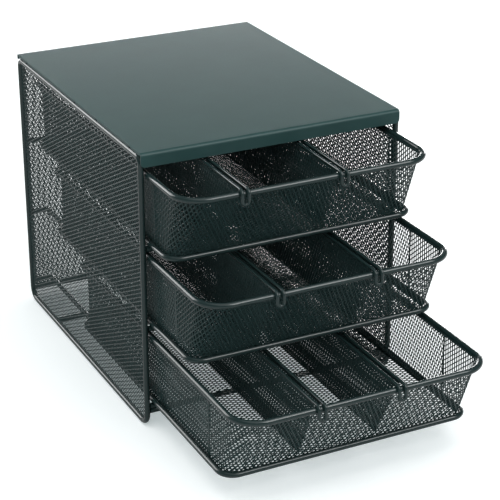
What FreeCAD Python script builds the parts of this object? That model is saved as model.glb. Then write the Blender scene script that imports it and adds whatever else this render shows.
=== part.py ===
"""Desktop mini drawers: a wire and mesh case with a sheet steel top and three pull out trays.

Millimetres, +X to the right, +Y to the back, +Z up. The origin is on the table, under the
centre of the top panel. The trays stand pulled out by the amounts in pull_at_rest.
"""
import FreeCAD, Part
import math
import os

from FreeCAD import Vector

# Case, overall
case_height = 210.0
panel_depth = 246.0

# Top panel, bent from sheet
panel_sheet = 1.0
panel_side_margin = 1.0
apron_height = 10.0
apron_corner_radius = 3.0
front_bend_radius = 2.6
back_lip_height = 4.0
back_bend_radius = 1.6
hem_width = 8.0
hem_notch_width = 3.0
hem_notch_depth = 1.6
hem_notch_shares = (0.08, 0.325, 0.495, 0.91)

# Side frames, one closed wire each
post_diameter = 4.2
post_behind_front = 3.5
post_before_back = 3.4
frame_bottom_radius = 9.0
frame_top_radius = 5.0

# Cross wires between the side frames
cross_diameter = 4.0
front_cross_height = 13.0
centre_cross_behind_front = 189.0
centre_cross_height = 2.2
back_cross_height = 8.5

# Runner wires that carry the trays
runner_diameter = 4.0
runner_height = 17.0
runner_inset = 15.0
runner_bend_radius = 5.0

# Expanded metal sheet, welded joints and running clearances
join_tolerance = 1e-6
mesh_thickness = 0.6
weld_gap = 0.1
slide_clearance = 0.3
side_clearance = 0.4
mesh_to_runner_gap = 0.3

# Openings in the sheets, coarser than the real diamonds and in two staggered grids
opening_short_way = 21.0
opening_long_way = 30.0
opening_strand = 3.0
opening_border = 3.0

# Trays
drawer_width = 193.0
drawer_length = 287.4
level_gap = 4.15
apron_gap = 1.85
rim_diameter = 4.4
base_diameter = 4.0
front_flare = 25.0
rim_front_radius = 20.0
rim_back_radius = 15.0
base_front_radius = 11.0
seam_behind_front = 54.0
closed_back_gap = 6.1
pull_at_rest = {"upper": 9.0, "middle": 42.0, "lower": 92.0}

# Dividers that hang across each tray from front rim to back rim
divider_wire_diameter = 2.5
divider_pair_spacing = 4.8
divider_hook_clearance = 0.15
divider_hook_drop = 10.0
divider_floor_gap = 4.0
divider_end_gap = 2.5
divider_sheet_gap = 0.2
divider_places = {
    "upper": {"left": -51.5, "right": 22.5},
    "middle": {"left": -42.5, "right": 31.5},
    "lower": {"left": -37.5, "right": 22.5},
}

levels = ("lower", "middle", "upper")
sides = {"left": -1, "right": 1}

# Half diameters
post_r = post_diameter / 2
cross_r = cross_diameter / 2
runner_r = runner_diameter / 2
rim_r = rim_diameter / 2
base_r = base_diameter / 2
divider_r = divider_wire_diameter / 2

# Places in the case
panel_front_y = -panel_depth / 2
panel_back_y = panel_depth / 2
post_x = drawer_width / 2 + side_clearance + post_r
panel_half_width = post_x + panel_side_margin
front_post_y = panel_front_y + post_behind_front
back_post_y = panel_back_y - post_before_back
hem_thickness = 2 * panel_sheet
frame_top_z = case_height - hem_thickness - weld_gap - post_r
wire_end_x = post_x - post_r - weld_gap
runner_x = wire_end_x - runner_inset + runner_r
runner_back_y = back_post_y - mesh_thickness / 2 - mesh_to_runner_gap - runner_r

# Places in a tray, from its own front, with its level's floor height added later
rim_half_width = drawer_width / 2 - rim_r
wall_half_width = rim_half_width - rim_r - weld_gap
base_half_width = wall_half_width + weld_gap + base_r
rim_length = drawer_length - rim_diameter
divider_reach = rim_r + divider_hook_clearance + divider_r
floor_bottom_z = runner_height + runner_r + slide_clearance
stack_height = case_height - apron_height - apron_gap - floor_bottom_z
tray_height = (stack_height - (len(levels) - 1) * level_gap) / len(levels)
level_pitch = tray_height + level_gap
base_z = floor_bottom_z + base_r
rim_z = floor_bottom_z + tray_height - divider_r - divider_reach
floor_top_z = floor_bottom_z + mesh_thickness
wall_bottom_z = floor_top_z + weld_gap
wall_top_z = rim_z
closed_rim_back_y = back_post_y - closed_back_gap
closed_rim_front_y = closed_rim_back_y - rim_length
rim_inset = rim_r + weld_gap
wall_height = wall_top_z - wall_bottom_z
lean = front_flare / wall_height
base_side_inset = base_r + weld_gap
base_front_inset = base_side_inset * math.hypot(1, lean) + lean * (base_z - wall_bottom_z)
wall_lean = (front_flare + base_front_inset - rim_inset) / wall_height


def rounded_path(points, radii, closed):
    """A wire of straight runs joined by tangent arcs. A radius of zero leaves a plain end."""
    count = len(points)
    starts = []
    ends = []
    arcs = []
    for i, (point, radius) in enumerate(zip(points, radii)):
        is_end = not closed and i in (0, count - 1)
        if is_end or radius <= 0:
            starts.append(point)
            ends.append(point)
            arcs.append(None)
            continue
        into = (point - points[i - 1]).normalize()
        away = (points[(i + 1) % count] - point).normalize()
        half_turn = into.getAngle(away) / 2
        back = radius * math.tan(half_turn)
        first = point - into * back
        last = point + away * back
        inward = (away - into).normalize()
        centre = point + inward * (radius / math.cos(half_turn))
        middle = centre - inward * radius
        starts.append(first)
        ends.append(last)
        arcs.append((first, middle, last))
    edges = []
    runs = count if closed else count - 1
    for i in range(runs):
        after = (i + 1) % count
        if ends[i].distanceToPoint(starts[after]) > join_tolerance:
            edges.append(Part.LineSegment(ends[i], starts[after]).toShape())
        if arcs[after]:
            edges.append(Part.Arc(*arcs[after]).toShape())
    return Part.Wire(edges)


def bent_wire(points, radii, diameter, closed=False):
    """A round wire swept along a rounded path."""
    path = rounded_path(points, radii, closed)
    first = path.OrderedEdges[0]
    start = first.valueAt(first.FirstParameter)
    along = first.tangentAt(first.FirstParameter)
    section = Part.Wire(Part.Circle(start, along, diameter / 2).toShape())
    return path.makePipeShell([section], True, False)


def loop_points(half_width, front_y, back_y, z):
    """Corners of a flat loop, from the middle of its back, front right first."""
    return [
        Vector(0, back_y, z),
        Vector(half_width, back_y, z),
        Vector(half_width, front_y, z),
        Vector(-half_width, front_y, z),
        Vector(-half_width, back_y, z),
    ]


def tray_loop(half_width, front_y, back_y, z, front_radius, back_radius, diameter):
    """A closed wire round the tray with large front corners."""
    points = loop_points(half_width, front_y, back_y, z)
    radii = [0, back_radius, front_radius, front_radius, back_radius]
    return bent_wire(points, radii, diameter, closed=True)


def front_band(seam_y, front_y, z, corner_radius):
    """Closed outline of the front sheet at one height: straight sides, two corners, front."""
    outlines = []
    for inset in (0, mesh_thickness):
        half = wall_half_width - inset
        points = [
            Vector(-half, seam_y, z),
            Vector(-half, front_y + inset, z),
            Vector(half, front_y + inset, z),
            Vector(half, seam_y, z),
        ]
        radius = corner_radius - inset
        outlines.append((points, rounded_path(points, [0, radius, radius, 0], False)))
    (outer_points, outer), (inner_points, inner) = outlines
    right_end = Part.LineSegment(outer_points[-1], inner_points[-1]).toShape()
    left_end = Part.LineSegment(inner_points[0], outer_points[0]).toShape()
    back_along = [edge for edge in reversed(inner.OrderedEdges)]
    return Part.Wire(outer.OrderedEdges + [right_end] + back_along + [left_end])


def upright_sheet(points, radii, offset):
    """A flat sheet cut to a rounded outline, given its mid plane outline and its thickness."""
    outline = rounded_path([point - offset / 2 for point in points], radii, True)
    return Part.Face(outline).extrude(offset)


def with_openings(sheet, corner, across, up, width, height):
    """The sheet with diamond openings in a rectangle of it, whose lower corner is given.

    The rectangle runs across along the short way of the diamonds and up along the long way.
    """
    corner = corner + (across + up) * opening_border
    width = width - 2 * opening_border
    height = height - 2 * opening_border
    half_short = width / max(1, round(width / opening_short_way)) / 2
    half_long = height / max(1, round(height / opening_long_way)) / 2
    inner_radius = half_short * half_long / math.hypot(half_short, half_long)
    open_share = 1 - opening_strand / 2 / inner_radius
    reach_across = across * (half_short * open_share)
    reach_up = up * (half_long * open_share)
    through = across.cross(up) * (2 * mesh_thickness)
    cutters = []
    for column in range(1, round(width / half_short)):
        for row in range(1, round(height / half_long)):
            if (column + row) % 2 == 0:
                centre = corner + across * (column * half_short) + up * (row * half_long)
                tips = [reach_across, reach_up, -reach_across, -reach_up, reach_across]
                diamond = Part.makePolygon([centre - through + tip for tip in tips])
                cutters.append(Part.Face(diamond).extrude(through * 2))
    return sheet.cut(cutters)


def round_long_edge(solid, at_front, radius):
    """The solid with its long top edge rounded, at the front or at the back."""
    top_z = solid.BoundBox.ZMax
    edges = [
        edge
        for edge in solid.Edges
        if edge.BoundBox.XLength > panel_half_width
        and edge.BoundBox.ZMin > top_z - panel_sheet / 2
        and (edge.BoundBox.YMin < 0) == at_front
    ]
    return solid.makeFillet(radius, edges[:1])


def top_panel():
    """Sheet steel top with a bent down front apron, a short back lip and folded side hems."""
    width = 2 * panel_half_width
    corner = Vector(-panel_half_width, panel_front_y, case_height - apron_height)
    outer = Part.makeBox(width, panel_depth, apron_height, corner)
    outer = round_long_edge(outer, True, front_bend_radius)
    outer = round_long_edge(outer, False, back_bend_radius)
    inner_depth = panel_depth - 2 * panel_sheet
    inner_height = 2 * apron_height - panel_sheet
    inner_corner = Vector(-width, panel_front_y + panel_sheet, case_height - 2 * apron_height)
    inner = Part.makeBox(2 * width, inner_depth, inner_height, inner_corner)
    inner = round_long_edge(inner, True, front_bend_radius - panel_sheet)
    inner = round_long_edge(inner, False, back_bend_radius - panel_sheet)
    shell = outer.cut(inner)
    below_lip = Part.makeBox(
        2 * width,
        panel_depth / 2,
        apron_height,
        Vector(-width, panel_back_y - panel_depth / 4, case_height - back_lip_height - apron_height),
    )
    shell = shell.cut(below_lip)
    apron_corners = [
        edge
        for edge in shell.Edges
        if edge.BoundBox.ZMax < case_height - apron_height + panel_sheet / 2
        and edge.BoundBox.XLength < panel_sheet / 2
        and edge.BoundBox.YMax < 0
        and edge.BoundBox.YLength > panel_sheet / 2
    ]
    shell = shell.makeFillet(apron_corner_radius, apron_corners)
    hem_length = panel_depth - 2 * max(front_bend_radius, back_bend_radius)
    hem_start = -hem_length / 2
    for sign in sides.values():
        low_x = min(sign * panel_half_width, sign * (panel_half_width - hem_width))
        hem_corner = Vector(low_x, hem_start, case_height - hem_thickness)
        hem = Part.makeBox(hem_width, hem_length, panel_sheet, hem_corner)
        shell = shell.fuse(hem)
        for share in hem_notch_shares:
            notch_x = sign * panel_half_width - hem_notch_depth
            notch_y = panel_front_y + share * panel_depth - hem_notch_width / 2
            notch_corner = Vector(notch_x, notch_y, case_height - hem_thickness - panel_sheet)
            notch_size = (2 * hem_notch_depth, hem_notch_width, hem_thickness)
            shell = shell.cut(Part.makeBox(*notch_size, notch_corner))
    return shell.removeSplitter()


def side_frame(sign):
    """Front post, bottom wire, back post and top wire in one closed wire."""
    x = sign * post_x
    middle_y = (front_post_y + back_post_y) / 2
    points = [
        Vector(x, middle_y, frame_top_z),
        Vector(x, back_post_y, frame_top_z),
        Vector(x, back_post_y, post_r),
        Vector(x, front_post_y, post_r),
        Vector(x, front_post_y, frame_top_z),
    ]
    radii = [0, frame_top_radius, frame_bottom_radius, frame_bottom_radius, frame_top_radius]
    return bent_wire(points, radii, post_diameter, closed=True)


def side_mesh(sign):
    """Flat sheet that fills the side frame."""
    x = sign * post_x
    inset = post_r + weld_gap
    low_y = front_post_y + inset
    high_y = back_post_y - inset
    low_z = post_r + inset
    high_z = frame_top_z - inset
    points = [
        Vector(x, low_y, low_z),
        Vector(x, high_y, low_z),
        Vector(x, high_y, high_z),
        Vector(x, low_y, high_z),
    ]
    bottom = frame_bottom_radius - inset
    top = frame_top_radius - inset
    sheet = upright_sheet(points, [bottom, bottom, top, top], Vector(mesh_thickness, 0, 0))
    width = high_y - low_y
    return with_openings(sheet, points[0], Vector(0, 1, 0), Vector(0, 0, 1), width, high_z - low_z)


def back_mesh():
    """Flat sheet between the two back posts, from the back cross wire up to the panel."""
    half = wire_end_x
    low_z = back_cross_height + cross_r + weld_gap
    high_z = case_height - panel_sheet - weld_gap
    low_corner_z = frame_top_z - frame_top_radius
    step_in = half - hem_width
    points = [
        Vector(-half, back_post_y, low_z),
        Vector(half, back_post_y, low_z),
        Vector(half, back_post_y, low_corner_z),
        Vector(step_in, back_post_y, low_corner_z),
        Vector(step_in, back_post_y, high_z),
        Vector(-step_in, back_post_y, high_z),
        Vector(-step_in, back_post_y, low_corner_z),
        Vector(-half, back_post_y, low_corner_z),
    ]
    sheet = upright_sheet(points, [0] * len(points), Vector(0, mesh_thickness, 0))
    corner = Vector(-step_in, back_post_y, low_z)
    return with_openings(sheet, corner, Vector(1, 0, 0), Vector(0, 0, 1), 2 * step_in, high_z - low_z)


def cross_wire(y, z):
    """Straight wire from one side frame to the other."""
    return Part.makeCylinder(cross_r, 2 * wire_end_x, Vector(-wire_end_x, y, z), Vector(1, 0, 0))


def runner(sign, level):
    """Staple shaped wire: out to the front post, along the side, out to the back post."""
    z = runner_height + level * level_pitch
    points = [
        Vector(sign * wire_end_x, front_post_y, z),
        Vector(sign * runner_x, front_post_y, z),
        Vector(sign * runner_x, runner_back_y, z),
        Vector(sign * wire_end_x, runner_back_y, z),
    ]
    return bent_wire(points, [0, runner_bend_radius, runner_bend_radius, 0], runner_diameter)


def tray_parts(rim_front_y, lift):
    """Wires and sheets of one tray, whose floor is raised by lift."""
    base_front_y = rim_front_y + front_flare
    back_y = rim_front_y + rim_length
    rim_height = rim_z + lift
    base_height = base_z + lift
    bottom = wall_bottom_z + lift
    top = wall_top_z + lift
    wall_back_y = back_y - rim_inset
    seam_y = rim_front_y + seam_behind_front
    back_seam_y = back_y - rim_back_radius
    back_radius = rim_back_radius - rim_inset

    rim = tray_loop(
        rim_half_width,
        rim_front_y,
        back_y,
        rim_height,
        rim_front_radius,
        rim_back_radius,
        rim_diameter,
    )
    base = tray_loop(
        base_half_width,
        base_front_y,
        back_y,
        base_height,
        base_front_radius,
        rim_back_radius,
        base_diameter,
    )
    top_front_y = rim_front_y + rim_inset
    bottom_front_y = base_front_y + base_front_inset
    bottom_radius = base_front_radius - base_side_inset
    lower_band = front_band(seam_y, bottom_front_y, bottom, bottom_radius)
    upper_band = front_band(seam_y, top_front_y, top, rim_front_radius - rim_inset)
    front = Part.makeLoft([lower_band, upper_band], True, True)
    front_half = wall_half_width - max(bottom_radius, rim_front_radius - rim_inset)
    front_corner = Vector(-front_half, bottom_front_y, bottom)
    front_slope = Vector(0, top_front_y - bottom_front_y, wall_height)
    front_height = front_slope.Length
    front_slope.normalize()
    level_x = Vector(1, 0, 0)
    front = with_openings(front, front_corner, level_x, front_slope, 2 * front_half, front_height)

    walls = {}
    for name, sign in sides.items():
        x = sign * wall_half_width
        low_x = min(x, x - sign * mesh_thickness)
        length = back_seam_y - seam_y - 2 * weld_gap
        corner = Vector(low_x, seam_y + weld_gap, bottom)
        wall = Part.makeBox(mesh_thickness, length, wall_height, corner)
        walls[name] = with_openings(wall, corner, Vector(0, 1, 0), Vector(0, 0, 1), length, wall_height)

    back_outer = [
        Vector(-wall_half_width, back_seam_y, bottom),
        Vector(-wall_half_width, wall_back_y, bottom),
        Vector(wall_half_width, wall_back_y, bottom),
        Vector(wall_half_width, back_seam_y, bottom),
    ]
    back = back_wall(back_outer, back_radius).extrude(Vector(0, 0, wall_height))
    back_half = wall_half_width - back_radius
    back_corner = Vector(-back_half, wall_back_y, bottom)
    back = with_openings(back, back_corner, level_x, Vector(0, 0, 1), 2 * back_half, wall_height)

    floor_points = [
        Vector(-wall_half_width, bottom_front_y, floor_bottom_z + lift),
        Vector(wall_half_width, bottom_front_y, floor_bottom_z + lift),
        Vector(wall_half_width, wall_back_y, floor_bottom_z + lift),
        Vector(-wall_half_width, wall_back_y, floor_bottom_z + lift),
    ]
    floor_radii = [bottom_radius, bottom_radius, back_radius, back_radius]
    floor_outline = rounded_path(floor_points, floor_radii, True)
    floor = Part.Face(floor_outline).extrude(Vector(0, 0, mesh_thickness))
    floor_length = wall_back_y - bottom_front_y
    floor_width = 2 * wall_half_width
    floor = with_openings(floor, floor_points[0], Vector(0, 1, 0), level_x, floor_length, floor_width)
    return {
        "rim_wire": rim,
        "base_wire": base,
        "front_mesh": front,
        "left_mesh": walls["left"],
        "right_mesh": walls["right"],
        "back_mesh": back,
        "floor_mesh": floor,
    }


def back_wall(outer_points, radius):
    """Flat face of the back sheet's outline, with both back corners rounded."""
    inner_points = []
    for i, point in enumerate(outer_points):
        toward_middle = -mesh_thickness if point.x > 0 else mesh_thickness
        forward = -mesh_thickness if i in (1, 2) else 0
        inner_points.append(point + Vector(toward_middle, forward, 0))
    inner_radius = radius - mesh_thickness
    outer = rounded_path(outer_points, [0, radius, radius, 0], False)
    inner = rounded_path(inner_points, [0, inner_radius, inner_radius, 0], False)
    right_end = Part.LineSegment(outer_points[-1], inner_points[-1]).toShape()
    left_end = Part.LineSegment(inner_points[0], outer_points[0]).toShape()
    back_along = [edge for edge in reversed(inner.OrderedEdges)]
    return Part.Face(Part.Wire(outer.OrderedEdges + [right_end] + back_along + [left_end]))


def divider_frame(x, rim_front_y, lift):
    """One closed wire: two long runs, bent down over the front and back rim in a U."""
    front_y = rim_front_y - divider_reach
    back_y = rim_front_y + rim_length + divider_reach
    top = rim_z + lift + divider_reach
    bottom = top - divider_hook_drop
    half = divider_pair_spacing / 2
    left = x - half
    right = x + half
    middle_y = (front_y + back_y) / 2
    points = [
        Vector(left, middle_y, top),
        Vector(left, back_y, top),
        Vector(left, back_y, bottom),
        Vector(right, back_y, bottom),
        Vector(right, back_y, top),
        Vector(right, front_y, top),
        Vector(right, front_y, bottom),
        Vector(left, front_y, bottom),
        Vector(left, front_y, top),
    ]
    over = divider_reach
    radii = [0, over, half, half, over, over, half, half, over]
    return bent_wire(points, radii, divider_wire_diameter, closed=True)


def divider_mesh(x, rim_front_y, lift):
    """Sheet folded into a narrow V that hangs between the two wires down to the floor."""
    top = rim_z + lift + divider_reach - divider_r - divider_sheet_gap
    fold = floor_top_z + lift + divider_floor_gap
    half = divider_pair_spacing / 2
    depth = top - fold
    wide = math.hypot(half, depth)
    across = mesh_thickness * wide / depth
    down = mesh_thickness * wide / half
    front_y = rim_front_y
    section = Part.makePolygon(
        [
            Vector(x - half, front_y, top),
            Vector(x, front_y, fold),
            Vector(x + half, front_y, top),
            Vector(x + half - across, front_y, top),
            Vector(x, front_y, fold + down),
            Vector(x - half + across, front_y, top),
            Vector(x - half, front_y, top),
        ]
    )
    long_fold = Part.Face(section).extrude(Vector(0, rim_length, 0))
    inset = rim_inset + mesh_thickness + divider_end_gap
    wall_top = wall_top_z + lift
    top_front_y = rim_front_y + inset - wall_lean * (top - wall_top)
    fold_front_y = rim_front_y + inset + wall_lean * (wall_top - fold)
    back_y = rim_front_y + rim_length - inset
    outline = Part.makePolygon(
        [
            Vector(x - divider_pair_spacing, top_front_y, top),
            Vector(x - divider_pair_spacing, fold_front_y, fold),
            Vector(x - divider_pair_spacing, back_y, fold),
            Vector(x - divider_pair_spacing, back_y, top),
            Vector(x - divider_pair_spacing, top_front_y, top),
        ]
    )
    trim = Part.Face(outline).extrude(Vector(2 * divider_pair_spacing, 0, 0))
    return long_fold.common(trim)


def build():
    """Every node of the object by name."""
    nodes = {"top_panel": top_panel()}
    for name, sign in sides.items():
        nodes[name + "_side_frame"] = side_frame(sign)
        nodes[name + "_side_mesh"] = side_mesh(sign)
    nodes["back_mesh"] = back_mesh()
    nodes["front_cross_wire"] = cross_wire(front_post_y, front_cross_height)
    centre_cross_y = panel_front_y + centre_cross_behind_front
    nodes["centre_cross_wire"] = cross_wire(centre_cross_y, centre_cross_height)
    nodes["back_cross_wire"] = cross_wire(back_post_y, back_cross_height)
    for number, level in enumerate(levels):
        lift = number * level_pitch
        rim_front_y = closed_rim_front_y - pull_at_rest[level]
        for side, sign in sides.items():
            nodes[level + "_" + side + "_runner"] = runner(sign, number)
        for piece, shape in tray_parts(rim_front_y, lift).items():
            nodes[level + "_drawer_" + piece] = shape
        for side, x in divider_places[level].items():
            place = level + "_" + side + "_divider_"
            nodes[place + "frame"] = divider_frame(x, rim_front_y, lift)
            nodes[place + "mesh"] = divider_mesh(x, rim_front_y, lift)
    return nodes


os.makedirs("parts", exist_ok=True)
for node, shape in build().items():
    valid = shape.isValid()
    print(node, len(shape.Solids), "solids", round(shape.Volume), "mm3", "valid" if valid else "INVALID")
    shape.exportStep("parts/" + node + ".step")
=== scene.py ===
"""Desktop mini drawers, dressed: coated wire, expanded metal sheets and a sheet steel top.

Each sheet is a real lattice of diamonds, cut to the outline of the plate that it stands for.
Metres, +X to the right, +Y to the back, +Z up, and the origin on the table.
"""

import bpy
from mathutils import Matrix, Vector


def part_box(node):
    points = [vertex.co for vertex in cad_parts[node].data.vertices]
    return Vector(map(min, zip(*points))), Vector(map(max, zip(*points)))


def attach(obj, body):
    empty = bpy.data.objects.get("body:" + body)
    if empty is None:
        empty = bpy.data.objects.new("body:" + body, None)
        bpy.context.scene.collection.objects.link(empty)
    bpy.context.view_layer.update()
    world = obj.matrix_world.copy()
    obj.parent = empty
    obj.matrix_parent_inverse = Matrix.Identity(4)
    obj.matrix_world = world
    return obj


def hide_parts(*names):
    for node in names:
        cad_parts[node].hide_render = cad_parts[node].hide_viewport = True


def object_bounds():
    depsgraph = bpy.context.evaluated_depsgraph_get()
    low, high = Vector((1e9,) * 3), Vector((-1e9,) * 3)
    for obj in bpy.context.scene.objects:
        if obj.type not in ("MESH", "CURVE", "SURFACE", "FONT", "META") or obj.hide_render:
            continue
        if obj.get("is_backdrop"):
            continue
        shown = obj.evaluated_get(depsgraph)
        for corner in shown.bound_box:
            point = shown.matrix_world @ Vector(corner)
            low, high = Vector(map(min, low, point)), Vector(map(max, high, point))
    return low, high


bl_info = {
    "name": "Desktop Mini Drawers",
    "version": (1, 0, 0),
    "blender": (4, 5, 0),
    "location": "View3D > Sidebar > Mini Drawers",
    "description": "Dresses a wire case and its trays with expanded metal, paint and a studio stage",
    "category": "Object",
}

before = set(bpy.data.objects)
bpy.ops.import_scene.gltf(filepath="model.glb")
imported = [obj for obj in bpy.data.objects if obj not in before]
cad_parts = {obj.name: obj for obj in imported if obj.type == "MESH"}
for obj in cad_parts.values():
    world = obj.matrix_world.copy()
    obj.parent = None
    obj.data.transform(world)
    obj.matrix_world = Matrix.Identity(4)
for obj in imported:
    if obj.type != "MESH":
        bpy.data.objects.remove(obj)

import math

import bmesh
import bpy
import numpy as np
from bpy.props import FloatProperty, FloatVectorProperty, PointerProperty
from bpy.types import Operator, Panel, PropertyGroup
from mathutils import Matrix, Vector

CAD_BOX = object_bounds()
LEVELS = ("lower", "middle", "upper")
SIDES = {"left": -1, "right": 1}
RIGHT_ANGLE = math.pi / 2

# Corners of one diamond hole, in the order of its vertices
HOLE_CORNERS = 4
HOLE_LEFT, HOLE_RIGHT, HOLE_UP, HOLE_DOWN = range(HOLE_CORNERS)

# Places where the bend of a front sheet's corner is worked out
CORNER_STEPS = 90

# Straight pieces in the strips round a tray's corners, a flat sheet's corners and a fold
TRAY_CORNER_CHORDS = 12
FLAT_CORNER_CHORDS = 6
FOLD_CHORDS = 4

# Points closer than this are joined
WELD_DISTANCE = 1e-7

# Corner radius of a sheet that is all but square
SMALL_RADIUS = 0.001

# How far a sheet reaches under the wires that hold it
TUCK = 0.0005

# Reach of a front sheet's flat blank, as shares of its wall's height and half width
BLANK_HEIGHT_SHARE = 1.6
BLANK_WIDTH_SHARE = 1.7

# Detail of the two noises in the coating
MOTTLE_DETAIL = 4.0
RIPPLE_DETAIL = 2.0

# Half the table's width, its clearance under the wires, and its roughness
FLOOR_HALF = 8.0
FLOOR_GAP = 0.0002
FLOOR_ROUGHNESS = 0.9

# Width and height of each lamp, its direction from the middle of the object, and its distance
LAMPS = {
    "Key": ((1.0, 1.0), (-0.55, 0.72, 0.42), 1.6),
    "Back": ((1.6, 0.4), (0.45, 0.9, 0.03), 1.3),
    "Front": ((1.0, 1.0), (0.35, -0.65, 0.7), 1.7),
    "Overhead": ((2.2, 2.2), (0.05, -0.35, 1.0), 1.8),
}


class SheetSettings(PropertyGroup):
    """Sizes of the expanded metal and of the places where it is cut and folded."""

    long_way: FloatProperty(
        name="Long way",
        description="Long diagonal of a diamond, from knuckle to knuckle",
        default=0.00615,
        unit="LENGTH",
        precision=5,
    )
    short_way: FloatProperty(
        name="Short way",
        description="Short diagonal of a diamond, from knuckle to knuckle",
        default=0.00313,
        unit="LENGTH",
        precision=5,
    )
    strand_width: FloatProperty(
        name="Strand width",
        description="Width of the metal left between two diamonds",
        default=0.00074,
        unit="LENGTH",
        precision=5,
    )
    strand_thickness: FloatProperty(
        name="Strand thickness",
        description="Thickness of the sheet that was slit and stretched",
        default=0.00036,
        unit="LENGTH",
        precision=5,
    )
    strand_lift: FloatProperty(
        name="Strand lift",
        description="How far the edges of a strand stand out of the sheet on either side",
        default=0.0001,
        unit="LENGTH",
        precision=5,
    )
    case_strand_lift: FloatProperty(
        name="Case strand lift",
        description="The same in the side frames, where all strands lean one way and face upward",
        default=0.0002,
        unit="LENGTH",
        precision=5,
    )
    front_strand_lift: FloatProperty(
        name="Front strand lift",
        description="The same in the trays' front sheets, where the strands lean the other way",
        default=0.00014,
        unit="LENGTH",
        precision=5,
    )
    floor_strand_lift: FloatProperty(
        name="Floor strand lift",
        description="The same in the trays' floors, where the strands lean toward the back",
        default=0.00007,
        unit="LENGTH",
        precision=5,
    )
    edge_band: FloatProperty(
        name="Edge band",
        description="Width of the plain strip that closes a sheet along its wires",
        default=0.0014,
        unit="LENGTH",
        precision=4,
    )
    seam_overlap: FloatProperty(
        name="Seam overlap",
        description="How far a tray's sheets reach past each other at an upright seam, each way",
        default=0.001,
        unit="LENGTH",
        precision=4,
    )
    rim_corner: FloatProperty(
        name="Front corner at the rim",
        description="Radius of a tray's front corner at the top of its wall",
        default=0.0177,
        unit="LENGTH",
        precision=4,
    )
    base_corner: FloatProperty(
        name="Front corner at the base",
        description="Radius of a tray's front corner at the foot of its wall",
        default=0.0089,
        unit="LENGTH",
        precision=4,
    )
    back_corner: FloatProperty(
        name="Back corner",
        description="Radius of a tray's back corner",
        default=0.0127,
        unit="LENGTH",
        precision=4,
    )
    case_low_corner: FloatProperty(
        name="Case corner at the table",
        description="Radius of the lower corners of the sheet in a side frame",
        default=0.0068,
        unit="LENGTH",
        precision=4,
    )
    case_high_corner: FloatProperty(
        name="Case corner at the top",
        description="Radius of the upper corners of the sheet in a side frame",
        default=0.0028,
        unit="LENGTH",
        precision=4,
    )
    back_chamfer: FloatProperty(
        name="Back sheet corner",
        description="Length cut from the upper corners of the back sheet, clear of the folded hems",
        default=0.008,
        unit="LENGTH",
        precision=4,
    )
    fold_radius: FloatProperty(
        name="Divider fold radius",
        description="Radius of the fold at the foot of a divider's sheet",
        default=0.0006,
        unit="LENGTH",
        precision=4,
    )
    fold_bead: FloatProperty(
        name="Divider fold bead",
        description="Diameter of the closed bead that runs along a divider's fold",
        default=0.0012,
        unit="LENGTH",
        precision=4,
    )


class PaintSettings(PropertyGroup):
    """Colours and gloss of the baked on coating."""

    panel_colour: FloatVectorProperty(
        name="Top panel",
        description="Colour of the sheet steel top",
        default=(0.024, 0.06, 0.059),
        subtype="COLOR",
        min=0,
        max=1,
    )
    wire_colour: FloatVectorProperty(
        name="Wires",
        description="Colour of the frame, runner, rim, base and divider wires",
        default=(0.012, 0.026, 0.026),
        subtype="COLOR",
        min=0,
        max=1,
    )
    mesh_colour: FloatVectorProperty(
        name="Expanded metal",
        description="Colour of the expanded metal sheets",
        default=(0.018, 0.038, 0.038),
        subtype="COLOR",
        min=0,
        max=1,
    )
    panel_roughness: FloatProperty(
        name="Panel roughness",
        description="Roughness of the top panel's coating",
        default=0.32,
        subtype="FACTOR",
        min=0,
        max=1,
    )
    wire_roughness: FloatProperty(
        name="Wire roughness",
        description="Roughness of the wires' coating",
        default=0.2,
        subtype="FACTOR",
        min=0,
        max=1,
    )
    mesh_roughness: FloatProperty(
        name="Expanded metal roughness",
        description="Roughness of the expanded metal's coating",
        default=0.24,
        subtype="FACTOR",
        min=0,
        max=1,
    )
    panel_specular: FloatProperty(
        name="Panel reflection",
        description="Strength of the top panel's reflections, where 0.5 is plain",
        default=0.1,
        subtype="FACTOR",
        min=0,
        max=1,
    )
    wire_specular: FloatProperty(
        name="Wire reflection",
        description="Strength of the wires' reflections, where 0.5 is plain",
        default=0.3,
        subtype="FACTOR",
        min=0,
        max=1,
    )
    mesh_specular: FloatProperty(
        name="Expanded metal reflection",
        description="Strength of the expanded metal's reflections, where 0.5 is plain",
        default=0.12,
        subtype="FACTOR",
        min=0,
        max=1,
    )
    mottle_size: FloatProperty(
        name="Mottle size",
        description="Spacing of the faint lighter and darker patches",
        default=0.02,
        unit="LENGTH",
        precision=3,
    )
    variation: FloatProperty(
        name="Variation",
        description="Share by which colour and gloss vary either way",
        default=0.12,
        subtype="FACTOR",
        min=0,
        max=1,
    )
    ripple_size: FloatProperty(
        name="Ripple size",
        description="Spacing of the fine ripple in the coating of the panel and the wires",
        default=0.0012,
        unit="LENGTH",
        precision=4,
    )
    ripple_depth: FloatProperty(
        name="Ripple depth",
        description="Depth of the fine ripple in the coating of the panel and the wires",
        default=0.00003,
        unit="LENGTH",
        precision=5,
    )
    mesh_ripple_size: FloatProperty(
        name="Expanded metal ripple size",
        description="Spacing of the ripple along the strands of the expanded metal",
        default=0.0006,
        unit="LENGTH",
        precision=4,
    )
    mesh_ripple_depth: FloatProperty(
        name="Expanded metal ripple depth",
        description="Depth of the ripple along the strands of the expanded metal",
        default=0.0001,
        unit="LENGTH",
        precision=5,
    )


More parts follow.
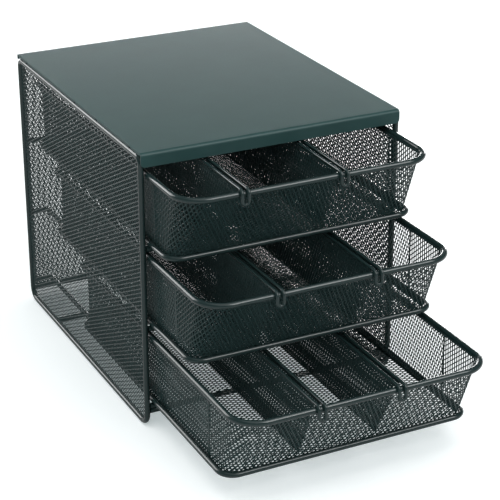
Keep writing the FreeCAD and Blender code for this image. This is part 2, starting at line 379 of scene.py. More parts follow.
class StageSettings(PropertyGroup):
    """Camera, lamps and floor."""

    camera_azimuth: FloatProperty(
        name="Camera azimuth",
        description="Direction of the camera round the object, from straight in front",
        default=math.radians(-26.51),
        subtype="ANGLE",
    )
    camera_elevation: FloatProperty(
        name="Camera elevation",
        description="Height of the camera above the horizon",
        default=math.radians(24.21),
        subtype="ANGLE",
    )
    camera_roll: FloatProperty(
        name="Camera roll",
        description="Turn of the camera about its own line of sight",
        default=math.radians(0.02),
        subtype="ANGLE",
    )
    camera_place: FloatVectorProperty(
        name="Camera place",
        description="Place of the camera",
        default=(-0.4976, -1.0825, 0.60646),
        subtype="TRANSLATION",
        precision=4,
    )
    camera_lens: FloatProperty(
        name="Camera lens",
        description="Focal length on a sensor of the width below, in millimetres",
        default=120.36,
        unit="CAMERA",
    )
    sensor_width: FloatProperty(
        name="Sensor width",
        description="Width of the camera's sensor, in millimetres",
        default=36.0,
        unit="CAMERA",
    )
    floor_colour: FloatVectorProperty(
        name="Floor",
        description="Colour of the table",
        default=(0.8, 0.8, 0.8),
        subtype="COLOR",
        min=0,
        max=1,
    )
    floor_glow: FloatVectorProperty(
        name="Floor glow",
        description="Colour of the light that the floor adds, which shows in its shade",
        default=(0.87, 0.985, 1.0),
        subtype="COLOR",
        min=0,
        max=1,
    )
    floor_white: FloatProperty(
        name="Floor white",
        description="Light that the floor adds for the camera only",
        default=0.42,
        min=0,
        max=1,
    )
    floor_mirror: FloatProperty(
        name="Floor in reflections",
        description="Light that the floor adds in reflections only",
        default=0.05,
        min=0,
        max=1,
    )
    sky_light: FloatProperty(
        name="Sky light",
        description="Strength of the soft light from all round",
        default=0.85,
        min=0,
    )
    sky_mirror: FloatProperty(
        name="Sky in reflections",
        description="Strength of the pale surroundings that the coating mirrors",
        default=0.12,
        min=0,
    )
    key_power: FloatProperty(
        name="Key lamp",
        description="Power of the lamp behind and to the left, seen in reflections only",
        default=25.0,
        unit="POWER",
        min=0,
    )
    top_power: FloatProperty(
        name="Overhead lamp",
        description="Power of the wide lamp overhead",
        default=20.0,
        unit="POWER",
        min=0,
    )
    back_power: FloatProperty(
        name="Back lamp",
        description="Power of the low lamp behind the case, seen in reflections only",
        default=30.0,
        unit="POWER",
        min=0,
    )
    front_power: FloatProperty(
        name="Front lamp",
        description="Power of the lamp in front and above, seen in reflections only",
        default=30.0,
        unit="POWER",
        min=0,
    )


# Lattice of an expanded sheet


def diamond_lattice(low, high, sheet, lift=None):
    """Points and faces of flat expanded metal over a stretch of its plane.

    The first coordinate runs along the short way, the second along the long way, and the third
    stands out of the sheet. Each hole has four corners. Two holes share the strand between them,
    and four holes share a knuckle. The lift leans the strands, and is the sheet's own unless
    another is given.
    """
    if lift is None:
        lift = sheet.strand_lift
    half_short = sheet.short_way / 2
    half_long = sheet.long_way / 2
    inner_radius = half_short * half_long / math.hypot(half_short, half_long)
    open_share = 1 - sheet.strand_width / 2 / inner_radius
    columns = np.arange(math.floor(low[0] / half_short) - 1, math.ceil(high[0] / half_short) + 2)
    rows = np.arange(math.floor(low[1] / half_long) - 1, math.ceil(high[1] / half_long) + 2)
    column, row = np.meshgrid(columns, rows, indexing="ij")
    is_hole = (column + row) % 2 == 0
    number = np.full(column.shape, -1)
    number[is_hole] = np.arange(is_hole.sum())
    centres = np.stack(
        [column[is_hole] * half_short, row[is_hole] * half_long, np.zeros(is_hole.sum())], axis=1
    )
    reach_short = half_short * open_share
    reach_long = half_long * open_share
    corners = np.zeros((HOLE_CORNERS, 3))
    corners[HOLE_LEFT] = (-reach_short, 0, lift)
    corners[HOLE_RIGHT] = (reach_short, 0, -lift)
    corners[HOLE_UP] = (0, reach_long, 0)
    corners[HOLE_DOWN] = (0, -reach_long, 0)
    points = (centres[:, None, :] + corners[None]).reshape(-1, 3)

    is_knuckle = ~is_hole[1:-1, 1:-1]
    before = number[:-2, 1:-1][is_knuckle] * HOLE_CORNERS
    after = number[2:, 1:-1][is_knuckle] * HOLE_CORNERS
    below = number[1:-1, :-2][is_knuckle] * HOLE_CORNERS
    above = number[1:-1, 2:][is_knuckle] * HOLE_CORNERS
    knuckles = (before + HOLE_RIGHT, below + HOLE_UP, after + HOLE_LEFT, above + HOLE_DOWN)
    rising = (after + HOLE_LEFT, after + HOLE_UP, above + HOLE_RIGHT, above + HOLE_DOWN)
    falling = (below + HOLE_UP, below + HOLE_RIGHT, after + HOLE_DOWN, after + HOLE_LEFT)
    faces = np.concatenate([np.stack(quad, axis=1) for quad in (knuckles, rising, falling)])
    return points, faces


def keep_near(points, faces, low, high):
    """The faces that reach into a box, and only the points that they use."""
    inside = ((points >= low) & (points <= high)).all(axis=1)
    faces = faces[inside[faces].any(axis=1)]
    used, renumbered = np.unique(faces, return_inverse=True)
    return points[used], renumbered.reshape(faces.shape)


def flat_place(origin, short_axis, long_axis, out_axis):
    """A function that lays the lattice in a flat plane."""
    axes = np.array([short_axis, long_axis, out_axis], float)

    def place(points):
        """Lays points of the flat lattice in space."""
        return np.array(origin) + points @ axes

    return place


def arc_points(centre, radius, start, end, steps):
    """Points along an arc in two dimensions, with angles from the first axis to the second."""
    angles = np.linspace(start, end, steps + 1)
    across = centre[0] + radius * np.cos(angles)
    along = centre[1] + radius * np.sin(angles)
    return np.stack([across, along], axis=1)


def rounded_outline(low, high, low_radius, high_radius):
    """A rectangle with rounded corners, anticlockwise, alike left and right of its middle."""
    corners = (
        (high[0], low[1], low_radius),
        (high[0], high[1], high_radius),
        (low[0], high[1], high_radius),
        (low[0], low[1], low_radius),
    )
    outline = []
    for turn, (across, along, radius) in enumerate(corners):
        inward = (
            -radius if across == high[0] else radius,
            radius if along == low[1] else -radius,
        )
        centre = (across + inward[0], along + inward[1])
        start = (turn - 1) * RIGHT_ANGLE
        outline.append(arc_points(centre, radius, start, start + RIGHT_ANGLE, FLAT_CORNER_CHORDS))
    return np.concatenate(outline)


def inset_outline(outline, width):
    """The outline moved inward by a width, edge by edge, for a convex outline."""
    before = outline - np.roll(outline, 1, axis=0)
    after = np.roll(outline, -1, axis=0) - outline
    before /= np.linalg.norm(before, axis=1, keepdims=True)
    after /= np.linalg.norm(after, axis=1, keepdims=True)
    inward = np.stack([-before[:, 1], before[:, 0]], axis=1)
    inward += np.stack([-after[:, 1], after[:, 0]], axis=1)
    inward /= np.linalg.norm(inward, axis=1, keepdims=True)
    half_turn = np.einsum("ij,ij->i", inward, np.stack([-after[:, 1], after[:, 0]], axis=1))
    return outline + inward * (width / half_turn)[:, None]


def outline_planes(outline, place):
    """One cutting plane for each edge of a convex outline, laid in space by the function."""
    planes = []
    for start, end in zip(outline, np.roll(outline, -1, axis=0)):
        along = end - start
        outward = start + np.array([along[1], -along[0]])
        spots = place(np.array([[*start, 0], [*outward, 0]]))
        planes.append((spots[0], spots[1] - spots[0]))
    return planes


def strip(first_row, second_row, closed=False):
    """Points and faces of a plain strip of metal between two rows of points."""
    count = len(first_row)
    points = np.concatenate([first_row, second_row])
    first = np.arange(count if closed else count - 1)
    after = (first + 1) % count
    faces = np.stack([first, after, after + count, first + count], axis=1)
    return points, faces


def border(outline, width, place):
    """The plain strip along the whole outline of a flat sheet."""
    rows = []
    for row in (outline, inset_outline(outline, width)):
        rows.append(place(np.column_stack([row, np.zeros(len(row))])))
    return strip(rows[0], rows[1], closed=True)


def add_faces(work, points, faces):
    """Adds points and faces to a mesh under construction."""
    made = [work.verts.new(point) for point in points]
    for face in faces:
        work.faces.new([made[i] for i in face])


def trimmed_lattice(points, faces, planes):
    """A mesh under construction that holds the lattice, cut off straight at each plane."""
    outside = np.zeros(len(points), bool)
    for spot, outward in planes:
        outside |= (points - spot) @ outward > 0
    near = outside[faces].any(axis=1)
    work = bmesh.new()
    used, renumbered = np.unique(faces[near], return_inverse=True)
    add_faces(work, points[used], renumbered.reshape(-1, 4))
    for spot, outward in planes:
        everything = work.verts[:] + work.edges[:] + work.faces[:]
        bmesh.ops.bisect_plane(
            work, geom=everything, plane_co=spot, plane_no=outward, clear_outer=True
        )
    used, renumbered = np.unique(faces[~near], return_inverse=True)
    add_faces(work, points[used], renumbered.reshape(-1, 4))
    bmesh.ops.remove_doubles(work, verts=work.verts, dist=WELD_DISTANCE)
    return work


def sheet_piece(name, body, lattice, planes, strips):
    """A piece of expanded metal with plain strips along its edges, at its full thickness."""
    sheet = bpy.context.scene.drawer_sheets
    work = trimmed_lattice(*lattice, planes)
    for points, faces in strips:
        add_faces(work, points, faces)
    mesh = bpy.data.meshes.new(name)
    work.to_mesh(mesh)
    work.free()
    mesh.materials.append(mesh_coating())
    piece = bpy.data.objects.new(name, mesh)
    bpy.context.scene.collection.objects.link(piece)
    thick = piece.modifiers.new("Sheet thickness", "SOLIDIFY")
    thick.thickness = sheet.strand_thickness
    thick.offset = 0
    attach(piece, body)
    return piece


def box_of(node):
    """Lowest and highest corner of a node as arrays."""
    low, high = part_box(node)
    return np.array(low), np.array(high)


# Sheets of the trays, the case and the dividers


def wall_row(half_width, seam, radius, corner_y, turn, height):
    """Points along a bent wall at one height, from one seam round both corners to the other."""
    corner = arc_points((half_width - radius, corner_y), radius, 0, turn, TRAY_CORNER_CHORDS)
    right = np.concatenate([[[half_width, seam]], corner])
    both = np.concatenate([right, right[::-1] * np.array([-1, 1])])
    return np.column_stack([both, np.full(len(both), height)])


def wall_planes(low, high, seam, facing):
    """Cuts at the foot and the rim of a bent wall, and at its seams, which face along +Y or -Y."""
    return (
        (np.array([0, 0, low]), np.array([0, 0, -1])),
        (np.array([0, 0, high]), np.array([0, 0, 1])),
        (np.array([0, seam, 0]), np.array([0, facing, 0])),
    )


def seam_strips(half_width, seam, low, high, reach):
    """Upright strips along both seams of a bent wall, which reach back or, below zero, forward."""
    strips = []
    for sign in SIDES.values():
        column = np.array([[sign * half_width, seam, z] for z in (low, high)])
        strips.append(strip(column, column + np.array([0, reach, 0])))
    return strips


class FrontSheet:
    """The front sheet of a tray, bent from one flat blank round two leaning corners.

    A corner is part of a cone, because its radius grows from the base to the rim. The blank
    bends without stretching, so its diamonds lie askew on the side walls.
    """

    def __init__(self, level, sheet):
        wall_low, wall_high = box_of(level + "_drawer_front_mesh")
        floor_low, _ = box_of(level + "_drawer_floor_mesh")
        side_low, side_high = box_of(level + "_drawer_right_mesh")
        half_plate = (side_high[0] - side_low[0]) / 2
        self.seam = wall_high[1]
        self.half_width = wall_high[0] - half_plate
        self.low = wall_low[2]
        self.high = wall_high[2]
        self.low_front = floor_low[1] + half_plate
        self.high_front = wall_low[1] + half_plate
        self.low_radius = sheet.base_corner - half_plate
        self.high_radius = sheet.rim_corner - half_plate
        slant = np.array([0, self.high_front - self.low_front, self.high - self.low])
        self.slant = slant / np.linalg.norm(slant)

        # Tip of the right corner's cone, in space and on the flat blank
        spread = self.high_radius - self.low_radius
        self.centre = np.array(
            [self.half_width - self.low_radius, self.low_front + self.low_radius, self.low]
        )
        high_centre = np.array(
            [self.half_width - self.high_radius, self.high_front + self.high_radius, self.high]
        )
        self.apex = self.centre - (high_centre - self.centre) * self.low_radius / spread
        self.flat_apex = np.array([self.apex[0], (self.apex[2] - self.low) / self.slant[2]])

        # Angle that the blank covers round that tip, at each turn round the corner
        self.turns = np.linspace(0, RIGHT_ANGLE, CORNER_STEPS + 1)
        lines = self.line(self.turns)
        turned = np.arccos(np.clip(np.einsum("ij,ij->i", lines[1:], lines[:-1]), -1, 1))
        self.unrolled = np.concatenate([[0], np.cumsum(turned)])
        self.flat_start = math.atan2(-self.flat_apex[1], -self.low_radius)

    def line(self, turn):
        """Unit vectors up the corner from the tip of its cone, at these turns."""
        turn = np.asarray(turn, float)
        spoke = np.stack([np.sin(turn), -np.cos(turn), np.zeros_like(turn)], axis=-1)
        reach = self.centre + self.low_radius * spoke - self.apex
        return reach / np.linalg.norm(reach, axis=-1, keepdims=True)

    def outward(self, turn):
        """Unit vectors square to the corner's surface, at these turns."""
        turn = np.asarray(turn, float)
        along = np.stack([np.cos(turn), np.sin(turn), np.zeros_like(turn)], axis=-1)
        normal = np.cross(along, self.line(turn))
        return normal / np.linalg.norm(normal, axis=-1, keepdims=True)

    def place(self, points):
        """Lays points of the flat blank on the bent sheet."""
        across = np.abs(points[:, 0])
        up = points[:, 1]
        flat = np.stack(
            [across, np.full_like(across, self.low_front), np.full_like(across, self.low)], axis=1
        )
        flat += up[:, None] * self.slant
        reach = np.stack([across, up], axis=1) - self.flat_apex
        distance = np.linalg.norm(reach, axis=1)
        bend = self.flat_start - np.arctan2(reach[:, 1], reach[:, 0])
        turn = np.interp(bend, self.unrolled, self.turns)
        past = np.maximum(bend - self.unrolled[-1], 0)[:, None]
        side_line = self.line(RIGHT_ANGLE)
        backward = np.array([0, side_line[2], -side_line[1]])
        heading = self.line(turn) * np.cos(past) + backward * np.sin(past)
        curved = self.apex + distance[:, None] * heading
        is_bent = (bend > 0)[:, None]
        normal = np.where(is_bent, self.outward(turn), self.outward(0.0))
        placed = np.where(is_bent, curved, flat) + points[:, 2:3] * normal
        placed[:, 0] *= np.where(points[:, 0] < 0, -1.0, 1.0)
        return placed

    def row(self, height):
        """Points along the wall at one height above its foot, from one seam to the other."""
        share = height / (self.high - self.low)
        radius = self.low_radius + share * (self.high_radius - self.low_radius)
        front = self.low_front + share * (self.high_front - self.low_front)
        return wall_row(
            self.half_width, self.seam, radius, front + radius, -RIGHT_ANGLE, self.low + height
        )


def tray_front_sheet(level):
    """The front sheet of one tray, with plain strips at its foot, its rim and both seams."""
    sheet = bpy.context.scene.drawer_sheets
    wall = FrontSheet(level, sheet)
    seam = wall.seam + sheet.seam_overlap
    height = wall.high - wall.low
    reach_up = height / wall.slant[2] * BLANK_HEIGHT_SHARE
    reach_across = wall.half_width * BLANK_WIDTH_SHARE
    points, faces = diamond_lattice(
        (-reach_across, -reach_up), (reach_across, reach_up), sheet, -sheet.front_strand_lift
    )
    margin = sheet.long_way
    low = np.array([-wall.half_width, wall.high_front, wall.low]) - margin
    high = np.array([wall.half_width, seam, wall.high]) + margin
    lattice = keep_near(wall.place(points), faces, low, high)
    planes = wall_planes(wall.low, wall.high, seam, 1)
    band = sheet.edge_band
    strips = [
        strip(wall.row(0), wall.row(band)),
        strip(wall.row(height - band), wall.row(height)),
        *seam_strips(wall.half_width, seam, wall.low, wall.high, -band),
    ]
    piece = sheet_piece(level + "_tray_front_sheet", level + "_drawer", lattice, planes, strips)
    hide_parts(level + "_drawer_front_mesh")


def flat_sheet(name, body, node, centre, half_size, axes, radii, tuck=0.0, turned_lift=None):
    """A flat sheet with rounded corners, whose axes run level, up and outward.

    The short way of its diamonds runs level, or up where a lift for a turned sheet is given.
    The tuck is how far the sheet reaches past the plate that it stands for, on every side.
    """
    sheet = bpy.context.scene.drawer_sheets
    half = np.array(half_size) + tuck
    outline = rounded_outline(-half, half, *radii)
    if turned_lift is not None:
        axes = (axes[1], axes[0], axes[2])
        half = half[::-1]
        outline = outline[::-1, ::-1]
    place = flat_place(centre, *axes)
    wide = half + sheet.long_way
    points, faces = diamond_lattice(-wide, wide, sheet, turned_lift)
    near = half + sheet.short_way
    points, faces = keep_near(points, faces, np.array([*-near, -1]), np.array([*near, 1]))
    planes = outline_planes(outline, place)
    strips = [border(outline, sheet.edge_band, place)]
    piece = sheet_piece(name, body, (place(points), faces), planes, strips)
    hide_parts(node)


def tray_side_sheet(level, side):
    """A tray's side sheet, which laps inside the front sheet and the back sheet."""
    sheet = bpy.context.scene.drawer_sheets
    node = f"{level}_drawer_{side}_mesh"
    low, high = box_of(node)
    sign = SIDES[side]
    centre = (low + high) / 2
    centre[0] -= sign * (sheet.strand_thickness + sheet.strand_lift / 2)
    half = (high - low)[1:] / 2 + np.array([sheet.seam_overlap, 0])
    axes = ((0, 1, 0), (0, 0, 1), (sign, 0, 0))
    name = f"{level}_tray_{side}_sheet"
    flat_sheet(name, level + "_drawer", node, centre, half, axes, (SMALL_RADIUS, SMALL_RADIUS))


def tray_back_sheet(level):
    """A tray's back sheet, bent round both back corners."""
    sheet = bpy.context.scene.drawer_sheets
    node = level + "_drawer_back_mesh"
    low, high = box_of(node)
    side_low, side_high = box_of(level + "_drawer_right_mesh")
    half_plate = (side_high[0] - side_low[0]) / 2
    half_width = high[0] - half_plate
    back = high[1] - half_plate
    radius = sheet.back_corner - half_plate
    flat_half = half_width - radius
    arc_length = radius * RIGHT_ANGLE

    def place(points):
        """Lays points of the flat sheet on the bent one."""
        across = np.abs(points[:, 0])
        turn = np.clip((across - flat_half) / radius, 0, RIGHT_ANGLE)
        past = np.maximum(across - flat_half - arc_length, 0)
        normal = np.stack([np.sin(turn), np.cos(turn), np.zeros_like(turn)], axis=1)
        x = np.minimum(across, flat_half) + radius * np.sin(turn)
        y = back - radius + radius * np.cos(turn) - past
        placed = np.stack([x, y, points[:, 1]], axis=1) + points[:, 2:3] * normal
        placed[:, 0] *= np.where(points[:, 0] < 0, -1.0, 1.0)
        return placed

    reach = flat_half + arc_length + sheet.long_way
    points, faces = diamond_lattice(
        (-reach, low[2] - sheet.long_way), (reach, high[2] + sheet.long_way), sheet
    )
    seam = low[1] - sheet.seam_overlap
    planes = wall_planes(low[2], high[2], seam, -1)

    def row(height):
        """Points along the sheet at one height, from one seam to the other."""
        return wall_row(half_width, seam, radius, back - radius, RIGHT_ANGLE, height)

    band = sheet.edge_band
    strips = [
        strip(row(low[2]), row(low[2] + band)),
        strip(row(high[2] - band), row(high[2])),
        *seam_strips(half_width, seam, low[2], high[2], band),
    ]
    lattice = (place(points), faces)
    piece = sheet_piece(level + "_tray_back_sheet", level + "_drawer", lattice, planes, strips)
    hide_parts(node)


def tray_floor_sheet(level):
    """A tray's floor, with its diamonds lying across the tray."""
    sheet = bpy.context.scene.drawer_sheets
    node = level + "_drawer_floor_mesh"
    low, high = box_of(node)
    half = (high - low)[[1, 0]] / 2
    axes = ((0, 1, 0), (1, 0, 0), (0, 0, 1))
    place = flat_place((low + high) / 2, *axes)
    wide = half + sheet.long_way
    points, faces = diamond_lattice(-wide, wide, sheet, -sheet.floor_strand_lift)
    front_radius = sheet.base_corner
    front_centre = (-half[0] + front_radius, half[1] - front_radius)
    front = arc_points(front_centre, front_radius, RIGHT_ANGLE, math.pi, TRAY_CORNER_CHORDS)
    back_radius = sheet.back_corner
    back_centre = (half[0] - back_radius, half[1] - back_radius)
    back = arc_points(back_centre, back_radius, 0, RIGHT_ANGLE, TRAY_CORNER_CHORDS)
    right_half = np.concatenate([back, front])
    left_half = right_half[::-1] * np.array([1, -1])
    outline = np.concatenate([right_half, left_half])
    planes = outline_planes(outline, place)
    strips = [border(outline, sheet.edge_band, place)]
    name = level + "_tray_floor_sheet"
    piece = sheet_piece(name, level + "_drawer", (place(points), faces), planes, strips)
    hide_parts(node)


def divider_sheet(level, side):
    """A divider's sheet, folded into a narrow V with a closed bead along the fold."""
    sheet = bpy.context.scene.drawer_sheets
    node = f"{level}_{side}_divider_mesh"
    low, high = box_of(node)
    wall = FrontSheet(level, sheet)
    middle = (low[0] + high[0]) / 2
    radius = sheet.fold_radius
    half_width = (high[0] - low[0]) / 2 - sheet.strand_thickness / 2
    centre_z = low[2] + radius
    rise = high[2] - centre_z
    reach = math.hypot(half_width, rise)
    tilt = math.acos(radius / reach) - math.atan2(rise, half_width)
    fold_turn = RIGHT_ANGLE - tilt
    fold_half = radius * fold_turn

    def place(points):
        """Lays points of the flat sheet on the folded one."""
        side_sign = np.where(points[:, 1] < 0, -1.0, 1.0)
        down_up = np.abs(points[:, 1])
        turn = np.minimum(down_up / radius, fold_turn)
        past = np.maximum(down_up - fold_half, 0)
        x = radius * np.sin(turn) + past * math.sin(tilt)
        z = centre_z - radius * np.cos(turn) + past * math.cos(tilt)
        normal = np.stack([np.sin(turn), np.zeros_like(turn), -np.cos(turn)], axis=1)
        placed = np.stack([x, points[:, 0], z], axis=1) + points[:, 2:3] * normal
        placed[:, 0] *= side_sign
        placed[:, 0] += middle
        return placed

    leaf = fold_half + rise / math.cos(tilt) + sheet.long_way
    points, faces = diamond_lattice(
        (low[1] - sheet.long_way, -leaf), (high[1] + sheet.long_way, leaf), sheet
    )
    front_foot = low[1] + (high[2] - low[2]) * -wall.slant[1] / wall.slant[2]
    planes = (
        (np.array([0, front_foot, low[2]]), np.array([0, -wall.slant[2], wall.slant[1]])),
        (np.array([0, high[1], 0]), np.array([0, 1, 0])),
        (np.array([0, 0, high[2] + TUCK]), np.array([0, 0, 1])),
    )

    def long_row(z, x):
        """Both ends of a line along the divider at this height, this far right of its middle."""
        front = front_foot + (z - low[2]) * wall.slant[1] / wall.slant[2]
        return np.array([[middle + x, front, z], [middle + x, high[1], z]])

    band = sheet.edge_band
    strips = []
    for sign in SIDES.values():
        top = long_row(high[2] + TUCK, sign * half_width)
        below = long_row(high[2] - band, sign * (half_width - band * math.sin(tilt)))
        strips.append(strip(top, below))
    bead = sheet.fold_bead / 2
    profile = arc_points((0, centre_z), bead, -math.pi, 0, FOLD_CHORDS)
    for (x_a, z_a), (x_b, z_b) in zip(profile[:-1], profile[1:]):
        strips.append(strip(long_row(z_a, x_a), long_row(z_b, x_b)))
    name = f"{level}_{side}_divider_sheet"
    lattice = (place(points), faces)
    piece = sheet_piece(name, f"{level}_{side}_divider", lattice, planes, strips)
    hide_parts(node)


# Finishes


def coating(name, colour, roughness, specular, ripple_size, ripple_depth):
    """Baked on coating with faint mottling, uneven gloss and a fine ripple."""
    material = bpy.data.materials.get(name)
    if material:
        return material
    paint = bpy.context.scene.drawer_paint
    material = bpy.data.materials.new(name)
    material.use_nodes = True
    nodes = material.node_tree.nodes
    links = material.node_tree.links
    shader = nodes["Principled BSDF"]
    shader.inputs["Specular IOR Level"].default_value = specular
    place = nodes.new("ShaderNodeTexCoord")

    mottle = nodes.new("ShaderNodeTexNoise")
    mottle.inputs["Scale"].default_value = 1 / paint.mottle_size
    mottle.inputs["Detail"].default_value = MOTTLE_DETAIL
    links.new(place.outputs["Object"], mottle.inputs["Vector"])
    blend = nodes.new("ShaderNodeMix")
    blend.data_type = "RGBA"
    dark = [channel * (1 - paint.variation) for channel in colour]
    light = [channel * (1 + paint.variation) for channel in colour]
    blend.inputs["A"].default_value = (*dark, 1)
    blend.inputs["B"].default_value = (*light, 1)
    links.new(mottle.outputs["Fac"], blend.inputs["Factor"])
    links.new(blend.outputs["Result"], shader.inputs["Base Color"])

    ripple = nodes.new("ShaderNodeTexNoise")
    ripple.inputs["Scale"].default_value = 1 / ripple_size
    ripple.inputs["Detail"].default_value = RIPPLE_DETAIL
    links.new(place.outputs["Object"], ripple.inputs["Vector"])
    gloss = nodes.new("ShaderNodeMapRange")
    gloss.inputs["To Min"].default_value = roughness * (1 - paint.variation)
    gloss.inputs["To Max"].default_value = roughness * (1 + paint.variation)
    links.new(ripple.outputs["Fac"], gloss.inputs["Value"])
    links.new(gloss.outputs["Result"], shader.inputs["Roughness"])
    bump = nodes.new("ShaderNodeBump")
    bump.inputs["Distance"].default_value = ripple_depth
    links.new(ripple.outputs["Fac"], bump.inputs["Height"])
    links.new(bump.outputs["Normal"], shader.inputs["Normal"])
    return material


def panel_coating():
    """The finish of the sheet steel top."""
    paint = bpy.context.scene.drawer_paint
    return coating(
        "Panel coating",
        paint.panel_colour,
        paint.panel_roughness,
        paint.panel_specular,
        paint.ripple_size,
        paint.ripple_depth,
    )


def wire_coating():
    """The finish of every wire."""
    paint = bpy.context.scene.drawer_paint
    return coating(
        "Wire coating",
        paint.wire_colour,
        paint.wire_roughness,
        paint.wire_specular,
        paint.ripple_size,
        paint.ripple_depth,
    )


def mesh_coating():
    """The finish of the expanded metal."""
    paint = bpy.context.scene.drawer_paint
    return coating(
        "Expanded metal coating",
        paint.mesh_colour,
        paint.mesh_roughness,
        paint.mesh_specular,
        paint.mesh_ripple_size,
        paint.mesh_ripple_depth,
    )


def finish_nodes(names, material):
    """Gives these carried over nodes a finish."""
    for name in names:
        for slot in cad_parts[name].material_slots:
            slot.material = material


# Stage


def add_lamp(name, power):
    """A soft rectangular lamp that faces the middle of the object."""
    size, direction, distance = LAMPS[name]
    light = bpy.data.lights.new(name, "AREA")
    light.shape = "RECTANGLE"
    light.size, light.size_y = size
    light.energy = power
    lamp = bpy.data.objects.new(name, light)
    bpy.context.scene.collection.objects.link(lamp)
    low, high = CAD_BOX
    middle = (Vector(low) + Vector(high)) / 2
    away = Vector(direction).normalized()
    lamp.location = middle + away * distance
    lamp.rotation_euler = away.to_track_quat("Z", "Y").to_euler()
    return lamp


def add_world(stage):
    """Soft light from all round, white behind the object and pale in reflections."""
    world = bpy.data.worlds.new("Studio")
    world.use_nodes = True
    bpy.context.scene.world = world
    nodes = world.node_tree.nodes
    links = world.node_tree.links
    output = nodes["World Output"]
    soft = nodes["Background"]
    white = nodes.new("ShaderNodeBackground")
    mirrored = nodes.new("ShaderNodeBackground")
    for sky, strength in ((soft, stage.sky_light), (white, 1.0), (mirrored, stage.sky_mirror)):
        sky.inputs["Color"].default_value = (1, 1, 1, 1)
        sky.inputs["Strength"].default_value = strength
    path = nodes.new("ShaderNodeLightPath")
    seen = nodes.new("ShaderNodeMath")
    seen.operation = "MAXIMUM"
    links.new(path.outputs["Is Camera Ray"], seen.inputs[0])
    links.new(path.outputs["Is Transmission Ray"], seen.inputs[1])
    gloss = nodes.new("ShaderNodeMixShader")
    links.new(path.outputs["Is Glossy Ray"], gloss.inputs[0])
    links.new(soft.outputs[0], gloss.inputs[1])
    links.new(mirrored.outputs[0], gloss.inputs[2])
    final = nodes.new("ShaderNodeMixShader")
    links.new(seen.outputs[0], final.inputs[0])
    links.new(gloss.outputs[0], final.inputs[1])
    links.new(white.outputs[0], final.inputs[2])
    links.new(final.outputs[0], output.inputs["Surface"])


def add_floor(stage):
    """A wide pale table top that looks white and keeps the object's shadow."""
    work = bmesh.new()
    bmesh.ops.create_grid(work, x_segments=2, y_segments=2, size=FLOOR_HALF)
    mesh = bpy.data.meshes.new("Table")
    work.to_mesh(mesh)
    work.free()
    floor = bpy.data.objects.new("Table", mesh)
    bpy.context.scene.collection.objects.link(floor)
    floor.location.z = -FLOOR_GAP
    material = bpy.data.materials.new("Table")
    material.use_nodes = True
    nodes = material.node_tree.nodes
    links = material.node_tree.links
    shader = nodes["Principled BSDF"]
    shader.inputs["Base Color"].default_value = (*stage.floor_colour, 1)
    shader.inputs["Roughness"].default_value = FLOOR_ROUGHNESS
    shader.inputs["Specular IOR Level"].default_value = 0.0
    shader.inputs["Emission Color"].default_value = (*stage.floor_glow, 1)
    path = nodes.new("ShaderNodeLightPath")
    mirrored = nodes.new("ShaderNodeMath")
    mirrored.operation = "MULTIPLY"
    mirrored.inputs[1].default_value = stage.floor_mirror
    links.new(path.outputs["Is Glossy Ray"], mirrored.inputs[0])
    seen = nodes.new("ShaderNodeMath")
    seen.operation = "MULTIPLY_ADD"
    seen.inputs[1].default_value = stage.floor_white
    links.new(path.outputs["Is Camera Ray"], seen.inputs[0])
    links.new(mirrored.outputs[0], seen.inputs[2])
    links.new(seen.outputs[0], shader.inputs["Emission Strength"])
    mesh.materials.append(material)
    floor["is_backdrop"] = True


def add_camera(stage):
    """The camera, which looks from the front left and a little above."""
    turn = stage.camera_azimuth
    rise = stage.camera_elevation
    roll = stage.camera_roll
    back = Vector(
        (math.sin(turn) * math.cos(rise), -math.cos(turn) * math.cos(rise), math.sin(rise))
    )
    right = Vector((0, 0, 1)).cross(back).normalized()
    up = back.cross(right)
    rolled_right = right * math.cos(roll) + up * math.sin(roll)
    rolled_up = up * math.cos(roll) - right * math.sin(roll)
    data = bpy.data.cameras.new("Camera")
    data.lens = stage.camera_lens
    data.sensor_width = stage.sensor_width
    data.sensor_fit = "HORIZONTAL"
    camera = bpy.data.objects.new("Camera", data)
    bpy.context.scene.collection.objects.link(camera)
    axes = Matrix((rolled_right, rolled_up, back)).transposed()
    camera.matrix_world = Matrix.Translation(stage.camera_place) @ axes.to_4x4()
    bpy.context.scene.camera = camera


# Operators


class DRAWERS_OT_top_panel(Operator):
    """Coat the sheet steel top"""

    bl_idname = "drawers.top_panel"
    bl_label = "Top panel"

    def execute(self, context):
        finish_nodes(["top_panel"], panel_coating())
        return {"FINISHED"}


class DRAWERS_OT_case_wires(Operator):
    """Coat the side frames, the cross wires and the runners"""

    bl_idname = "drawers.case_wires"
    bl_label = "Case wires"

    def execute(self, context):
        names = ["front_cross_wire", "centre_cross_wire", "back_cross_wire"]
        names += [side + "_side_frame" for side in SIDES]
        names += [f"{level}_{side}_runner" for level in LEVELS for side in SIDES]
        finish_nodes(names, wire_coating())
        return {"FINISHED"}


class DRAWERS_OT_case_sheets(Operator):
    """Fill both side frames and the back of the case with expanded metal"""

    bl_idname = "drawers.case_sheets"
    bl_label = "Case sheets"

    def execute(self, context):
        sheet = context.scene.drawer_sheets
        for side, sign in SIDES.items():
            node = side + "_side_mesh"
            low, high = box_of(node)
            axes = ((0, 1, 0), (0, 0, 1), (sign, 0, 0))
            radii = (sheet.case_low_corner, sheet.case_high_corner)
            half = (high - low)[1:] / 2
            name = side + "_side_sheet"
            lift = sign * sheet.case_strand_lift
            flat_sheet(name, "case", node, (low + high) / 2, half, axes, radii, TUCK, lift)
        low, high = box_of("back_mesh")
        axes = ((1, 0, 0), (0, 0, 1), (0, 1, 0))
        radii = (SMALL_RADIUS, sheet.back_chamfer)
        half = (high - low)[[0, 2]] / 2
        flat_sheet("back_sheet", "case", "back_mesh", (low + high) / 2, half, axes, radii)
        return {"FINISHED"}


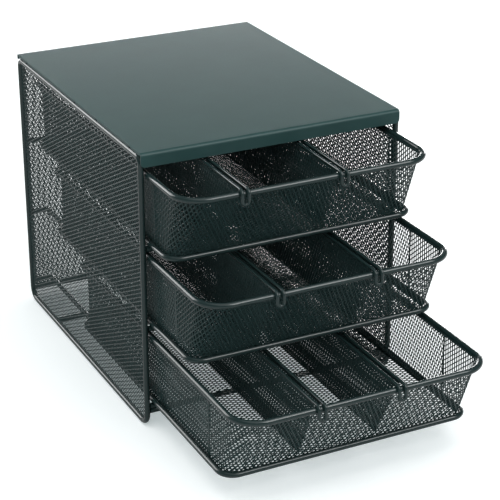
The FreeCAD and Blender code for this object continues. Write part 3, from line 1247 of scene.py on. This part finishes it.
class DRAWERS_OT_tray_wires(Operator):
    """Coat the rim wire and the base wire of each tray"""

    bl_idname = "drawers.tray_wires"
    bl_label = "Tray wires"

    def execute(self, context):
        names = [f"{level}_drawer_{wire}_wire" for level in LEVELS for wire in ("rim", "base")]
        finish_nodes(names, wire_coating())
        return {"FINISHED"}


class DRAWERS_OT_tray_sheets(Operator):
    """Make the walls and the floor of each tray from expanded metal"""

    bl_idname = "drawers.tray_sheets"
    bl_label = "Tray sheets"

    def execute(self, context):
        for level in LEVELS:
            tray_front_sheet(level)
            tray_back_sheet(level)
            tray_floor_sheet(level)
            for side in SIDES:
                tray_side_sheet(level, side)
        return {"FINISHED"}


class DRAWERS_OT_dividers(Operator):
    """Coat the divider wires and fold their expanded metal"""

    bl_idname = "drawers.dividers"
    bl_label = "Dividers"

    def execute(self, context):
        for level in LEVELS:
            for side in SIDES:
                finish_nodes([f"{level}_{side}_divider_frame"], wire_coating())
                divider_sheet(level, side)
        return {"FINISHED"}


class DRAWERS_OT_stage(Operator):
    """Set up the table, the soft light and the camera"""

    bl_idname = "drawers.stage"
    bl_label = "Stage"

    def execute(self, context):
        stage = context.scene.drawer_stage
        context.scene.view_settings.view_transform = "Standard"
        add_world(stage)
        add_floor(stage)
        add_camera(stage)
        mirrored_only = {
            "Key": stage.key_power,
            "Back": stage.back_power,
            "Front": stage.front_power,
        }
        for name, power in mirrored_only.items():
            lamp = add_lamp(name, power)
            lamp.visible_diffuse = False
        add_lamp("Overhead", stage.top_power)
        return {"FINISHED"}


OPERATORS = (
    DRAWERS_OT_top_panel,
    DRAWERS_OT_case_wires,
    DRAWERS_OT_case_sheets,
    DRAWERS_OT_tray_wires,
    DRAWERS_OT_tray_sheets,
    DRAWERS_OT_dividers,
    DRAWERS_OT_stage,
)


class DRAWERS_PT_sidebar(Panel):
    """Steps that dress the drawers, in order"""

    bl_idname = "DRAWERS_PT_sidebar"
    bl_label = "Mini Drawers"
    bl_space_type = "VIEW_3D"
    bl_region_type = "UI"
    bl_category = "Mini Drawers"

    def draw(self, context):
        for operator in OPERATORS:
            self.layout.operator(operator.bl_idname)


CLASSES = (SheetSettings, PaintSettings, StageSettings, *OPERATORS, DRAWERS_PT_sidebar)


def register():
    """Registers the classes and puts the settings on the scene."""
    for cls in CLASSES:
        bpy.utils.register_class(cls)
    bpy.types.Scene.drawer_sheets = PointerProperty(type=SheetSettings)
    bpy.types.Scene.drawer_paint = PointerProperty(type=PaintSettings)
    bpy.types.Scene.drawer_stage = PointerProperty(type=StageSettings)


def unregister():
    """Takes the settings and the classes away again."""
    del bpy.types.Scene.drawer_stage
    del bpy.types.Scene.drawer_paint
    del bpy.types.Scene.drawer_sheets
    for cls in reversed(CLASSES):
        bpy.utils.unregister_class(cls)


def main():
    """Dresses the drawers."""
    register()
    bpy.ops.drawers.stage()
    bpy.ops.drawers.top_panel()
    bpy.ops.drawers.case_wires()
    bpy.ops.drawers.case_sheets()
    bpy.ops.drawers.tray_wires()
    bpy.ops.drawers.tray_sheets()
    bpy.ops.drawers.dividers()
    for name, (low, high) in (("cad", CAD_BOX), ("visual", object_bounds())):
        [float(value) for value in low]
        [float(value) for value in high]


if __name__ == "__main__":
    main()
